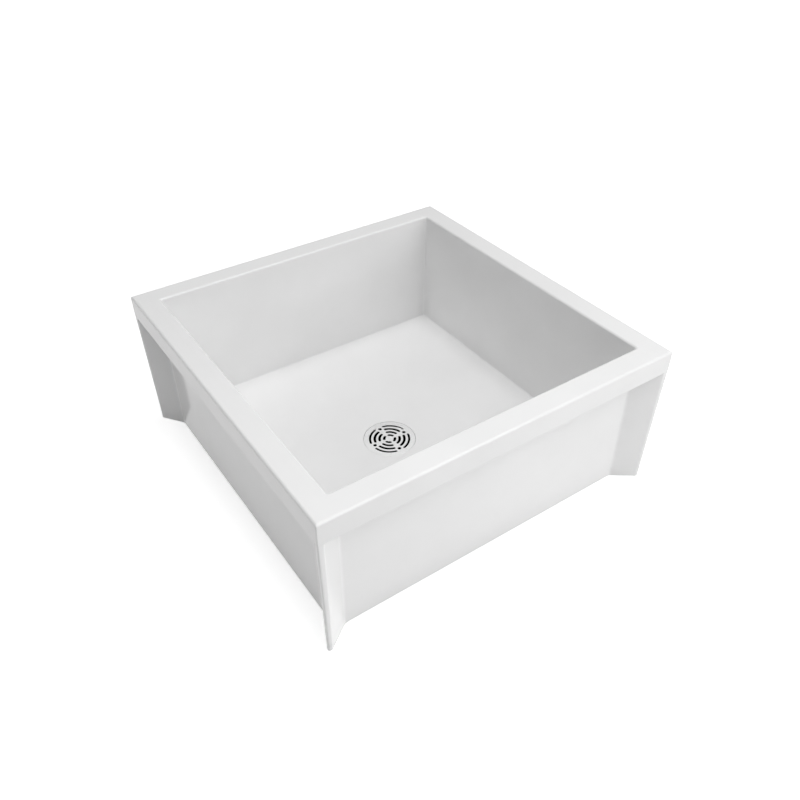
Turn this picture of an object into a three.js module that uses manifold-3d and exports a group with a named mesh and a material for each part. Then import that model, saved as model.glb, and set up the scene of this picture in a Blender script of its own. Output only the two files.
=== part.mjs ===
// A floor mop service sink: one moulded basin with a flat rim, a short turned-down apron,
// recessed walls, a fin at each corner and a floor dished to a centred drain.
// Millimetres, +Z up, front towards -Y. The origin is the middle of the plane that the
// basin stands on.

import * as THREE from "three";
import { mergeVertices } from "three/addons/utils/BufferGeometryUtils.js";
import Module from "manifold-3d";

const wasm = await Module();
wasm.setup();

// ---------------------------------------------------------------- basin, overall
const WIDTH = 609.6;
const DEPTH = 609.6;
const HEIGHT = 254;

// Rim and apron.
const RIM_THICKNESS = 8;
const RIM_INNER_INSET = 37.5; // apron's face to the bowl's wall, at the rim
const RIM_OUTER_ROUNDING = 4;
const RIM_INNER_ROUNDING = 3.5;
const APRON_HEIGHT = 37;
const APRON_THICKNESS = 7;
const APRON_CORNER_RADIUS = 1.5;
const APRON_LIP_ROUNDING = 1.2;
const CHANNEL_FILLET = 4; // along the top of the hollow behind the apron
const TIGHTEST_CORNER = 0.4; // where a corner's radius would come to nothing

// Walls.
const WALL_RECESS = 29.7; // apron's face to the wall's outer face
const WALL_DRAFT = 1; // how far the bowl narrows from the rim to the floor, on each side
const BOWL_CORNER_RADIUS = 4;
const BOWL_RIM_CORNER_RADIUS = 4.5;
const BOWL_FLOOR_CORNER_RADIUS = 2;
const SKIRT_THICKNESS = 7.8; // the wall below the floor
const SKIRT_CORNER_RADIUS = 6;

// Floor, dished from a rounded rectangle at the walls to a circle at the drain.
const FLOOR_FALL = 19.2; // from the walls to the drain
const FLOOR_FILLET = 3;
const FLOOR_THICKNESS = 7;
const FLOOR_LEDGE_THICKNESS = 2.4; // where the floor is thinned round the drain's opening

// Ribs under the floor.
const RIB_THICKNESS = 4;
const RIB_SPACING_LIMIT = 60;

// Corner fins, flush with the apron's corner and drawn in towards the foot.
const FIN_ROOT = 45; // corner of the apron to where a fin's side meets the wall
const FIN_TIP_WIDTH_TOP = 8.5;
const FIN_TIP_WIDTH_FOOT = 6;
const FIN_TIP_SETBACK_TOP = 0.1;
const FIN_TIP_SETBACK_FOOT = 3.5;
const FIN_TIP_ROUNDING_TOP = 2.5;
const FIN_TIP_ROUNDING_FOOT = 3.6;
const FIN_EDGE_ROUNDING = 1.8;
const FIN_TIP_ROUNDING_LIMIT = 0.6; // share of the tip's width
const FIN_EDGE_ROUNDING_LIMIT = 0.3; // share of the tip's width
const FIN_ROOT_FILLET = 3.5;
const FIN_TOP = 0.25; // how deep a fin ends in the rim, as a share of the rim's thickness

// ---------------------------------------------------------------- drain
const PIPE_RADIUS = 44.45; // a 3 inch drain pipe's outside
const PIPE_CLEARANCE = 0.75;
const SEAT_GAP = 0.3; // between pieces that rest on each other
const FIT_CLEARANCE = 0.4; // between round pieces that sit in each other

const STRAINER_RADIUS = 45.3;
const STRAINER_THICKNESS = 1;
const STRAINER_DROP = 0.5; // below the floor at the drain
const STRAINER_CLEARANCE = 0.4;
const STRAINER_SEAT_WIDTH = 6.3; // top of the drain body's neck, which the strainer rests on
const SLOT_RINGS = 4;
const SLOTS_PER_RING = 4;
const SLOT_FIRST_RADIUS = 9.4;
const SLOT_PITCH = 8.3;
const SLOT_WIDTH = 4.5;
const SLOT_OUTER_WIDTH = 3.8; // the outermost ring's slots are narrower
const SLOT_SPAN = 68; // degrees of the ring that each slot takes
const LIFT_HOLE_RADIUS = 3.1;
const LIFT_HOLE_PLACE = 30.4; // radius of the circle of lifting holes

const LEG_COUNT = 4;
const LEG_WIDTH = 8;
const LEG_THICKNESS = 1;
const LEG_FOOT_LENGTH = 4.5;
const LEG_LENGTH = 8.6; // below the strainer's plate
const LEG_INNER_BEND = 0.5;
const LEG_CLEARANCE = 0.6; // to the drain's throat
const LEG_LEAD_IN = 0.8; // how far the leg's end leans in

const SHOULDER_THICKNESS = 2;
const SOCKET_WALL = 3.7;
const GASKET_THICKNESS = 1.3;
const SEAL_HEIGHT = 3.7;
const SEAL_WIDTH = 7.5; // pipe to the socket's wall
const SEAL_BACK_WIDTH = 4.6;
const SEAL_LIPS = 2;
const SEAL_LIP_REACH = 0.55; // how far the lips stand inside the pipe's outside
const SEAL_LIP_TIP = 0.6; // height of a lip at its tip
const SEAL_LIP_ROOT = 1.2; // height of a lip at its root

const RING_HEIGHT = 0.6; // retaining ring's underside above the floor it stands on
const RING_THICKNESS = 1.6;
const RING_EDGE = 6.9; // screw circle to the ring's outer edge
const SCREW_COUNT = 6;
const SCREW_RADIUS = 2;
const SCREW_LENGTH = 8;
const SCREW_HEAD_RADIUS = 3.6;
const SCREW_HEAD_EDGE = 0.25; // height of the head's straight rim
const SCREW_TIP = 1.4;
const SCREW_WALL = 4.1; // socket in the basin to the edge of a screw
const CROSS_WIDTH = 0.9;
const CROSS_LENGTH = 3.4;
const CROSS_DEPTH = 0.8;
const BOSS_WALL = 6; // outside the retaining ring's recess

// ---------------------------------------------------------------- how finely arcs are cut
const CORNER_STEPS = 4;
const ROUNDING_STEPS = 4;
const SIDE_POINTS = 6; // extra points along each side of the bowl, for the dish
const DISH_STEPS = 4;
const LATHE_STEPS = 48;
const SMALL_LATHE_STEPS = 16;
const SLOT_STEPS = 8;
const SLOT_END_STEPS = 4;
const PLATE_STEPS = 72;
const PAST = 1; // how far a cutting solid runs past the face it cuts

// ---------------------------------------------------------------- heights and radii that follow
const apronBottom = HEIGHT - APRON_HEIGHT;
const channelTop = HEIGHT - RIM_THICKNESS;

// The drain's pieces are stacked from the retaining ring up, and the floor follows them.
const ringTop = RING_HEIGHT + RING_THICKNESS;
const bodyBottom = ringTop + SEAT_GAP;
const sealTop = bodyBottom + SEAL_HEIGHT;
const pipeStop = sealTop + SEAT_GAP;
const shoulderTop = pipeStop + SHOULDER_THICKNESS;
const gasketBottom = shoulderTop + SEAT_GAP;
const gasketTop = gasketBottom + GASKET_THICKNESS;
const ledgeUnderside = gasketTop + SEAT_GAP;
const floorDrainHeight = ledgeUnderside + FLOOR_LEDGE_THICKNESS;
const floorEdgeHeight = floorDrainHeight + FLOOR_FALL;
const strainerTop = floorDrainHeight - STRAINER_DROP;
const strainerUnderside = strainerTop - STRAINER_THICKNESS;
const strainerSeat = strainerUnderside - SEAT_GAP;

const pipeBore = PIPE_RADIUS + PIPE_CLEARANCE;
const drainOpening = STRAINER_RADIUS + STRAINER_CLEARANCE;
const neckRadius = drainOpening - FIT_CLEARANCE;
const throatRadius = neckRadius - STRAINER_SEAT_WIDTH;
const grooveRadius = Math.max(PIPE_RADIUS + SEAL_WIDTH + FIT_CLEARANCE, neckRadius);
const bodyRadius = grooveRadius + SOCKET_WALL;
const bodySocket = bodyRadius + FIT_CLEARANCE;
const screwCircle = bodySocket + SCREW_WALL + SCREW_RADIUS;
const ringRadius = screwCircle + RING_EDGE;
const ringRecess = ringRadius + FIT_CLEARANCE;
const bossRadius = ringRecess + BOSS_WALL;

// ---------------------------------------------------------------- solids
function toSolid(geometry) {
  const bare = geometry.clone();
  bare.deleteAttribute("normal");
  bare.deleteAttribute("uv");
  const merged = mergeVertices(bare);
  const corners = merged.index.array;
  const triangles = [];
  for (let i = 0; i < corners.length; i += 3) {
    const [a, b, c] = corners.slice(i, i + 3);
    if (a !== b && b !== c && c !== a) {
      triangles.push(a, b, c);
    }
  }
  const mesh = new wasm.Mesh({
    numProp: 3,
    vertProperties: new Float32Array(merged.attributes.position.array),
    triVerts: new Uint32Array(triangles),
  });
  return new wasm.Manifold(mesh);
}

function toGeometry(solid) {
  const mesh = solid.getMesh();
  const geometry = new THREE.BufferGeometry();
  geometry.setAttribute("position", new THREE.BufferAttribute(mesh.vertProperties, 3));
  geometry.setIndex(new THREE.BufferAttribute(mesh.triVerts, 1));
  geometry.computeVertexNormals();
  return geometry;
}

// A closed solid through loops that all run counter-clockwise and have as many points.
function loft(loops) {
  const count = loops[0].length;
  const triangles = [];
  for (let level = 0; level < loops.length - 1; level++) {
    for (let i = 0; i < count; i++) {
      const here = level * count + i;
      const next = level * count + ((i + 1) % count);
      triangles.push(here, next, next + count);
      triangles.push(here, next + count, here + count);
    }
  }
  const lastStart = (loops.length - 1) * count;
  for (const [a, b, c] of THREE.ShapeUtils.triangulateShape(loops[0], [])) {
    triangles.push(a, c, b);
  }
  for (const [a, b, c] of THREE.ShapeUtils.triangulateShape(loops.at(-1), [])) {
    triangles.push(lastStart + a, lastStart + b, lastStart + c);
  }
  const geometry = new THREE.BufferGeometry();
  geometry.setFromPoints(loops.flat());
  geometry.setIndex(triangles);
  return toSolid(geometry);
}

// A profile of [radius, height] pairs turned about Z.
function turned(profile, steps = LATHE_STEPS) {
  const points = profile.map(([radius, height]) => new THREE.Vector2(radius, height));
  const geometry = new THREE.LatheGeometry(points, steps);
  geometry.rotateX(Math.PI / 2);
  return toSolid(geometry);
}

function cylinder(radius, low, high, steps = LATHE_STEPS) {
  return turned([[0, low], [radius, low], [radius, high], [0, high]], steps);
}

// A ring's profile is closed on itself, outer bottom corner first.
function ring(inner, outer, low, high) {
  return turned([[outer, low], [outer, high], [inner, high], [inner, low], [outer, low]]);
}

function block(sizeX, sizeY, low, high, centreX = 0, centreY = 0) {
  const geometry = new THREE.BoxGeometry(sizeX, sizeY, high - low);
  geometry.translate(centreX, centreY, (low + high) / 2);
  return toSolid(geometry);
}

function extruded(shape, depth, curveSegments = ROUNDING_STEPS) {
  return new THREE.ExtrudeGeometry(shape, { depth, bevelEnabled: false, curveSegments });
}

// A quarter circle in a profile: from angle `start` to `end`, in degrees.
function arc(centreInset, centreHeight, radius, start, end) {
  const points = [];
  for (let step = 0; step <= ROUNDING_STEPS; step++) {
    const angle = THREE.MathUtils.degToRad(start + ((end - start) * step) / ROUNDING_STEPS);
    points.push([
      centreInset + radius * Math.cos(angle),
      centreHeight + radius * Math.sin(angle),
    ]);
  }
  return points;
}

// ---------------------------------------------------------------- loops round the basin
// A rounded rectangle set in from the apron's faces. Each corner has CORNER_STEPS + 1
// points, and `sidePoints` more divide the straight side that follows it.
function rectangleLoop(inset, radius, height, sidePoints = 0) {
  const reachX = WIDTH / 2 - inset - radius;
  const reachY = DEPTH / 2 - inset - radius;
  const corners = [
    [reachX, reachY],
    [-reachX, reachY],
    [-reachX, -reachY],
    [reachX, -reachY],
  ];
  const loop = [];
  corners.forEach(([centreX, centreY], corner) => {
    for (let step = 0; step <= CORNER_STEPS; step++) {
      const angle = (Math.PI / 2) * (corner + step / CORNER_STEPS);
      const x = centreX + radius * Math.cos(angle);
      const y = centreY + radius * Math.sin(angle);
      loop.push(new THREE.Vector3(x, y, height));
    }
    const [nextX, nextY] = corners[(corner + 1) % corners.length];
    const side = new THREE.Vector3(nextX - centreX, nextY - centreY, 0);
    const start = loop.at(-1);
    for (let point = 1; point <= sidePoints; point++) {
      loop.push(start.clone().addScaledVector(side, point / (sidePoints + 1)));
    }
  });
  return loop;
}

// The circle whose points answer those of a rectangleLoop one by one.
function circleLoop(radius, height, sidePoints) {
  const count = 4 * (CORNER_STEPS + 1 + sidePoints);
  const loop = [];
  for (let i = 0; i < count; i++) {
    const angle = Math.PI / 4 + ((i - CORNER_STEPS / 2) * 2 * Math.PI) / count;
    loop.push(new THREE.Vector3(radius * Math.cos(angle), radius * Math.sin(angle), height));
  }
  return loop;
}

// Loops in equal steps from one loop to another, both ends included.
function between(first, last, steps) {
  const loops = [];
  for (let step = 0; step <= steps; step++) {
    loops.push(first.map((point, i) => point.clone().lerp(last[i], step / steps)));
  }
  return loops;
}

// ---------------------------------------------------------------- basin
// The outside, without the bowl: foot, wall, hollow behind the apron, apron and rim.
function outerForm() {
  const channelOuter = APRON_THICKNESS;
  const lip = APRON_LIP_ROUNDING;
  const profile = [
    [WALL_RECESS, 0],
    ...arc(WALL_RECESS - CHANNEL_FILLET, channelTop - CHANNEL_FILLET, CHANNEL_FILLET, 0, 90),
    ...arc(channelOuter + CHANNEL_FILLET, channelTop - CHANNEL_FILLET, CHANNEL_FILLET, 90, 180),
    [channelOuter, apronBottom],
    [lip, apronBottom],
    [0, apronBottom + lip],
    ...arc(RIM_OUTER_ROUNDING, HEIGHT - RIM_OUTER_ROUNDING, RIM_OUTER_ROUNDING, 180, 90),
  ];
  const cornerRadius = (inset) => Math.max(APRON_CORNER_RADIUS - inset, TIGHTEST_CORNER);
  return loft(profile.map(([inset, height]) => rectangleLoop(inset, cornerRadius(inset), height)));
}

// The space inside the bowl, down through the drain's opening.
function bowlSpace() {
  const wallFoot = RIM_INNER_INSET + WALL_DRAFT;
  const floorEdge = rectangleLoop(
    wallFoot + FLOOR_FILLET,
    BOWL_FLOOR_CORNER_RADIUS,
    floorEdgeHeight,
    SIDE_POINTS,
  );
  const drainEdge = circleLoop(drainOpening, floorDrainHeight, SIDE_POINTS);
  const dish = between(drainEdge, floorEdge, DISH_STEPS);
  const filletCentre = floorEdgeHeight + FLOOR_FILLET;
  const fillet = arc(wallFoot + FLOOR_FILLET, filletCentre, FLOOR_FILLET, -90, -180).slice(1);
  const rimCentre = HEIGHT - RIM_INNER_ROUNDING;
  const rimInset = RIM_INNER_INSET - RIM_INNER_ROUNDING;
  const rounding = arc(rimInset, rimCentre, RIM_INNER_ROUNDING, 0, 90);
  const bowlLoop = (inset, radius, height) => rectangleLoop(inset, radius, height, SIDE_POINTS);
  const filletCorner = (step) =>
    THREE.MathUtils.lerp(BOWL_FLOOR_CORNER_RADIUS, BOWL_CORNER_RADIUS, step / fillet.length);
  const roundingCorner = (step) =>
    THREE.MathUtils.lerp(BOWL_CORNER_RADIUS, BOWL_RIM_CORNER_RADIUS, step / ROUNDING_STEPS);
  return loft([
    circleLoop(drainOpening, ledgeUnderside - PAST, SIDE_POINTS),
    ...dish,
    ...fillet.map(([inset, height], step) => bowlLoop(inset, filletCorner(step + 1), height)),
    ...rounding.map(([inset, height], step) => bowlLoop(inset, roundingCorner(step), height)),
    bowlLoop(rimInset, BOWL_RIM_CORNER_RADIUS, HEIGHT + PAST),
  ]);
}

// The ribs' centres along one side, at equal steps no wider than the limit.
function ribPlaces(length) {
  const bays = Math.ceil(length / RIB_SPACING_LIMIT);
  const places = [];
  for (let rib = 1; rib < bays; rib++) {
    places.push(-length / 2 + (length * rib) / bays);
  }
  return places;
}

// The pockets under the floor, between the skirt, the ribs and the drain's boss.
function underfloorPockets() {
  const inset = WALL_RECESS + SKIRT_THICKNESS;
  const edge = floorEdgeHeight - FLOOR_THICKNESS;
  const middle = floorDrainHeight - FLOOR_THICKNESS;
  const sizeX = WIDTH - 2 * inset;
  const sizeY = DEPTH - 2 * inset;
  let pockets = loft([
    rectangleLoop(inset, SKIRT_CORNER_RADIUS, -PAST),
    rectangleLoop(inset, SKIRT_CORNER_RADIUS, edge),
    circleLoop(drainOpening, middle, 0),
  ]);
  pockets = pockets.subtract(cylinder(bossRadius, -2 * PAST, floorEdgeHeight));
  for (const place of ribPlaces(sizeX)) {
    pockets = pockets.subtract(block(RIB_THICKNESS, DEPTH, -2 * PAST, floorEdgeHeight, place, 0));
  }
  for (const place of ribPlaces(sizeY)) {
    pockets = pockets.subtract(block(WIDTH, RIB_THICKNESS, -2 * PAST, floorEdgeHeight, 0, place));
  }
  return pockets;
}

// A fin's outline, for the corner at (+X, +Y), measured in from the apron's faces.
function finLoop(setback, tipWidth, tipRounding, height) {
  const tip = [setback, setback];
  const edge = [setback + tipWidth, setback];
  const root = [FIN_ROOT, WALL_RECESS];
  const anchor = [FIN_ROOT + FIN_ROOT_FILLET, WALL_RECESS];
  const buried = [FIN_ROOT + FIN_ROOT_FILLET, WALL_RECESS + SKIRT_THICKNESS / 2];
  const mirrored = ([along, across]) => [across, along];
  const inner = [WALL_RECESS + SKIRT_THICKNESS / 2, WALL_RECESS + SKIRT_THICKNESS / 2];
  const shape = new THREE.Shape();
  const towards = (from, to, distance) => {
    const start = new THREE.Vector2(...from);
    const step = new THREE.Vector2(...to).sub(start);
    return start.addScaledVector(step, distance / step.length()).toArray();
  };
  const round = (before, corner, after, reach) => {
    shape.lineTo(...towards(corner, before, reach));
    shape.quadraticCurveTo(...corner, ...towards(corner, after, reach));
  };
  shape.moveTo(...inner);
  shape.lineTo(...buried);
  shape.lineTo(...anchor);
  shape.quadraticCurveTo(...root, ...towards(root, edge, FIN_ROOT_FILLET));
  const edgeRounding = Math.min(FIN_EDGE_ROUNDING, tipWidth * FIN_EDGE_ROUNDING_LIMIT);
  const noseRounding = Math.min(tipRounding, tipWidth * FIN_TIP_ROUNDING_LIMIT);
  round(root, edge, tip, edgeRounding);
  round(edge, tip, mirrored(edge), noseRounding);
  round(tip, mirrored(edge), mirrored(root), edgeRounding);
  shape.lineTo(...towards(mirrored(root), mirrored(edge), FIN_ROOT_FILLET));
  shape.quadraticCurveTo(...mirrored(root), ...mirrored(anchor));
  shape.lineTo(...mirrored(buried));
  const loop = shape
    .getPoints(ROUNDING_STEPS)
    .map((point) => new THREE.Vector3(WIDTH / 2 - point.x, DEPTH / 2 - point.y, height));
  if (THREE.ShapeUtils.isClockWise(loop)) {
    loop.reverse();
  }
  return loop;
}

function cornerFins() {
  const upperLoop = (height) =>
    finLoop(FIN_TIP_SETBACK_TOP, FIN_TIP_WIDTH_TOP, FIN_TIP_ROUNDING_TOP, height);
  const fin = loft([
    finLoop(FIN_TIP_SETBACK_FOOT, FIN_TIP_WIDTH_FOOT, FIN_TIP_ROUNDING_FOOT, 0),
    upperLoop(apronBottom),
    upperLoop(channelTop + RIM_THICKNESS * FIN_TOP),
  ]);
  const acrossX = fin.mirror([1, 0, 0]);
  const acrossY = fin.mirror([0, 1, 0]);
  return [fin, acrossX, acrossY, acrossX.mirror([0, 1, 0])];
}

// The recesses in the boss for the drain body, the retaining ring and its screws.
function drainRecesses() {
  const recesses = [
    cylinder(bodySocket, -PAST, ledgeUnderside),
    cylinder(ringRecess, -PAST, bodyBottom),
  ];
  const holeRadius = SCREW_RADIUS + SEAT_GAP;
  const holeTop = RING_HEIGHT + SCREW_LENGTH + 2 * SEAT_GAP;
  const hole = cylinder(holeRadius, RING_HEIGHT, holeTop, SMALL_LATHE_STEPS);
  for (const angle of around(SCREW_COUNT)) {
    recesses.push(hole.translate(screwCircle * Math.cos(angle), screwCircle * Math.sin(angle), 0));
  }
  return recesses;
}

// Equal angles round the drain.
function around(count) {
  return Array.from({ length: count }, (_, i) => (2 * Math.PI * i) / count);
}

function basinGeometry() {
  let basin = outerForm();
  for (const fin of cornerFins()) {
    basin = basin.add(fin);
  }
  basin = basin.subtract(bowlSpace());
  basin = basin.subtract(underfloorPockets());
  for (const recess of drainRecesses()) {
    basin = basin.subtract(recess);
  }
  return toGeometry(basin);
}

// ---------------------------------------------------------------- drain pieces
// A neck that the strainer rests on, and a shoulder that stops the pipe and closes the
// socket for the pipe's seal.
function drainBodyGeometry() {
  return toGeometry(turned([
    [bodyRadius, bodyBottom],
    [bodyRadius, shoulderTop],
    [neckRadius, shoulderTop],
    [neckRadius, strainerSeat],
    [throatRadius, strainerSeat],
    [throatRadius, pipeStop],
    [grooveRadius, pipeStop],
    [grooveRadius, bodyBottom],
    [bodyRadius, bodyBottom],
  ]));
}

function gasketGeometry() {
  const inner = neckRadius + FIT_CLEARANCE;
  const outer = bodySocket - FIT_CLEARANCE;
  return toGeometry(ring(inner, outer, gasketBottom, gasketTop));
}

// A rubber ring with lips that bear on the pipe, each leaning up the way the pipe enters.
function sealGeometry() {
  const outer = grooveRadius - FIT_CLEARANCE;
  const back = outer - SEAL_BACK_WIDTH;
  const lipTip = PIPE_RADIUS - SEAL_LIP_REACH;
  const pitch = SEAL_HEIGHT / SEAL_LIPS;
  const profile = [[outer, bodyBottom], [outer, sealTop]];
  for (let lip = SEAL_LIPS; lip >= 1; lip--) {
    const lipTop = bodyBottom + pitch * lip;
    profile.push([back, lipTop]);
    profile.push([lipTip, lipTop]);
    profile.push([lipTip, lipTop - SEAL_LIP_TIP]);
    profile.push([back, lipTop - SEAL_LIP_ROOT]);
  }
  profile.push([back, bodyBottom]);
  profile.push([outer, bodyBottom]);
  return toGeometry(turned(profile));
}

// The countersink's cone, a little wider than the head that lies in it.
function headSpace(gap) {
  const wide = SCREW_HEAD_RADIUS + gap;
  const narrow = SCREW_RADIUS + gap;
  const rimTop = RING_HEIGHT + SCREW_HEAD_EDGE;
  return [
    [wide, rimTop],
    [narrow, rimTop + SCREW_HEAD_RADIUS - SCREW_RADIUS],
  ];
}

function retainingRingGeometry() {
  let plate = ring(pipeBore, ringRadius, RING_HEIGHT, ringTop);
  const [rim, neck] = headSpace(SEAT_GAP);
  const hole = turned(
    [[0, RING_HEIGHT - PAST], [rim[0], RING_HEIGHT - PAST], rim, neck, [neck[0], ringTop + PAST],
      [0, ringTop + PAST]],
    SMALL_LATHE_STEPS,
  );
  for (const angle of around(SCREW_COUNT)) {
    plate = plate.subtract(
      hole.translate(screwCircle * Math.cos(angle), screwCircle * Math.sin(angle), 0),
    );
  }
  return toGeometry(plate);
}

// A countersunk screw with a cross recess in its head, at the origin, pointing up.
function screwGeometry() {
  const [rim, neck] = headSpace(0);
  const end = RING_HEIGHT + SCREW_LENGTH;
  const crossTop = RING_HEIGHT + CROSS_DEPTH;
  let screw = turned(
    [[0, RING_HEIGHT], [rim[0], RING_HEIGHT], rim, neck, [SCREW_RADIUS, end - SCREW_TIP], [0, end]],
    SMALL_LATHE_STEPS,
  );
  screw = screw.subtract(block(CROSS_LENGTH, CROSS_WIDTH, RING_HEIGHT - PAST, crossTop));
  screw = screw.subtract(block(CROSS_WIDTH, CROSS_LENGTH, RING_HEIGHT - PAST, crossTop));
  return toGeometry(screw);
}

// ---------------------------------------------------------------- strainer
function circlePath(centreX, centreY, radius, steps) {
  const points = [];
  for (let step = 0; step < steps; step++) {
    const angle = (2 * Math.PI * step) / steps;
    points.push(new THREE.Vector2(
      centreX + radius * Math.cos(angle),
      centreY + radius * Math.sin(angle),
    ));
  }
  return points;
}

// A slot bent round the plate's centre, with round ends.
function slotPath(radius, width, middle) {
  const half = width / 2;
  const sweep = THREE.MathUtils.degToRad(SLOT_SPAN) / 2 - half / radius;
  const polar = (distance, angle) =>
    new THREE.Vector2(distance * Math.cos(angle), distance * Math.sin(angle));
  const points = [];
  for (let step = 0; step <= SLOT_STEPS; step++) {
    const angle = middle - sweep + (2 * sweep * step) / SLOT_STEPS;
    points.push(polar(radius + half, angle));
  }
  const farEnd = polar(radius, middle + sweep);
  for (let step = 1; step < SLOT_END_STEPS; step++) {
    const angle = middle + sweep + (Math.PI * step) / SLOT_END_STEPS;
    points.push(farEnd.clone().add(polar(half, angle)));
  }
  for (let step = SLOT_STEPS; step >= 0; step--) {
    const angle = middle - sweep + (2 * sweep * step) / SLOT_STEPS;
    points.push(polar(radius - half, angle));
  }
  const nearEnd = polar(radius, middle - sweep);
  for (let step = 1; step < SLOT_END_STEPS; step++) {
    const angle = middle - sweep + Math.PI + (Math.PI * step) / SLOT_END_STEPS;
    points.push(nearEnd.clone().add(polar(half, angle)));
  }
  return points;
}

function strainerPlateGeometry() {
  const plate = new THREE.Shape(circlePath(0, 0, STRAINER_RADIUS, PLATE_STEPS));
  for (let level = 0; level < SLOT_RINGS; level++) {
    const radius = SLOT_FIRST_RADIUS + SLOT_PITCH * level;
    const width = level === SLOT_RINGS - 1 ? SLOT_OUTER_WIDTH : SLOT_WIDTH;
    for (const angle of around(SLOTS_PER_RING)) {
      const middle = angle + Math.PI / SLOTS_PER_RING;
      plate.holes.push(new THREE.Path(slotPath(radius, width, middle)));
    }
  }
  for (const angle of around(SLOTS_PER_RING)) {
    const x = LIFT_HOLE_PLACE * Math.cos(angle);
    const y = LIFT_HOLE_PLACE * Math.sin(angle);
    plate.holes.push(new THREE.Path(circlePath(x, y, LIFT_HOLE_RADIUS, SMALL_LATHE_STEPS)));
  }
  const geometry = extruded(plate, STRAINER_THICKNESS);
  geometry.translate(0, 0, strainerUnderside);
  return toGeometry(toSolid(geometry));
}

// A bent strip: its foot lies under the plate and its leg hangs in the drain's throat.
// It is drawn in X and Z and made LEG_WIDTH wide along Y.
function legGeometry() {
  const top = strainerUnderside - SEAT_GAP;
  const outer = throatRadius - LEG_CLEARANCE;
  const inner = outer - LEG_THICKNESS;
  const foot = outer - LEG_FOOT_LENGTH;
  const bottom = strainerUnderside - LEG_LENGTH;
  const underfoot = top - LEG_THICKNESS;
  const outerBend = LEG_INNER_BEND + LEG_THICKNESS;
  const shape = new THREE.Shape();
  shape.moveTo(foot, underfoot);
  shape.lineTo(inner - LEG_INNER_BEND, underfoot);
  shape.quadraticCurveTo(inner, underfoot, inner, underfoot - LEG_INNER_BEND);
  shape.lineTo(inner - LEG_LEAD_IN, bottom);
  shape.lineTo(outer - LEG_LEAD_IN, bottom);
  shape.lineTo(outer, top - outerBend);
  shape.quadraticCurveTo(outer, top, outer - outerBend, top);
  shape.lineTo(foot, top);
  const geometry = extruded(shape, LEG_WIDTH);
  geometry.rotateX(Math.PI / 2);
  geometry.translate(0, LEG_WIDTH / 2, 0);
  return toGeometry(toSolid(geometry));
}

// ---------------------------------------------------------------- assembly
const finishes = {
  moulding: { color: 0xf1f1f1, roughness: 0.3, metalness: 0 },
  steel: { color: 0xc9cacb, roughness: 0.28, metalness: 1 },
  rubber: { color: 0x1c1c1d, roughness: 0.75, metalness: 0 },
};

function piece(name, geometry, finish) {
  const mesh = new THREE.Mesh(geometry, new THREE.MeshStandardMaterial(finishes[finish]));
  mesh.name = name;
  return mesh;
}

const sink = new THREE.Group();
sink.add(piece("basin", basinGeometry(), "moulding"));

const drain = new THREE.Group();
drain.add(piece("drain_body", drainBodyGeometry(), "steel"));
drain.add(piece("drain_body_gasket", gasketGeometry(), "rubber"));
drain.add(piece("pipe_seal", sealGeometry(), "rubber"));
drain.add(piece("seal_retaining_ring", retainingRingGeometry(), "steel"));
const screw = screwGeometry();
around(SCREW_COUNT).forEach((angle, i) => {
  const mesh = piece(`retainer_screw_${i + 1}`, screw, "steel");
  mesh.position.set(screwCircle * Math.cos(angle), screwCircle * Math.sin(angle), 0);
  drain.add(mesh);
});
sink.add(drain);

const strainer = new THREE.Group();
strainer.add(piece("strainer_plate", strainerPlateGeometry(), "steel"));
const leg = legGeometry();
around(LEG_COUNT).forEach((angle, i) => {
  const mesh = piece(`strainer_leg_${i + 1}`, leg, "steel");
  mesh.rotation.z = angle;
  strainer.add(mesh);
});
sink.add(strainer);

export default sink;
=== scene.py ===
"""The looks of a floor mop service sink: a white moulded basin with a steel drain.

Metres, +Z up, front towards -Y, origin in the middle of the plane that the basin stands on.
"""

import math

import bpy
from mathutils import Matrix, Vector


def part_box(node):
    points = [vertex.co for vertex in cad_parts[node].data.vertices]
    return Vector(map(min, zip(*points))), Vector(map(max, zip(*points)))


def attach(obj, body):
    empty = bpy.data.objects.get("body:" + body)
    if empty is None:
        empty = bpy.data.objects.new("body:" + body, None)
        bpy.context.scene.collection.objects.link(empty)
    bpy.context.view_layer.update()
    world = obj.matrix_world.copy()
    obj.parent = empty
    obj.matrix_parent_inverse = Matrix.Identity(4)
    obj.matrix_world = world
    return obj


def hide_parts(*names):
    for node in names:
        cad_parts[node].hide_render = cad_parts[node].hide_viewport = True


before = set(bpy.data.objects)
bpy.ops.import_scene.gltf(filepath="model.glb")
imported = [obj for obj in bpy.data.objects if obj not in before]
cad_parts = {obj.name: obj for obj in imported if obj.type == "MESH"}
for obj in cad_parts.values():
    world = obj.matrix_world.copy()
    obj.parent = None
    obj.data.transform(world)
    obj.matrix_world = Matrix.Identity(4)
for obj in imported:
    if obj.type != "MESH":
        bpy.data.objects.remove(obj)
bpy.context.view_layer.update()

MM = 0.001

# ---------------------------------------------------------------- sizes from the frame
basin_low, basin_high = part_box("basin")
WIDTH = basin_high.x - basin_low.x
DEPTH = basin_high.y - basin_low.y
HEIGHT = basin_high.z - basin_low.z

plate_low, plate_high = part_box("strainer_plate")
STRAINER_RADIUS = plate_high.x
STRAINER_TOP = plate_high.z
STRAINER_UNDERSIDE = plate_low.z

body_low, body_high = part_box("drain_body")
BODY_RADIUS = body_high.x
BODY_BOTTOM = body_low.z

gasket_low, gasket_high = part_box("drain_body_gasket")
seal_low, seal_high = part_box("pipe_seal")
ring_low, ring_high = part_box("seal_retaining_ring")

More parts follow.
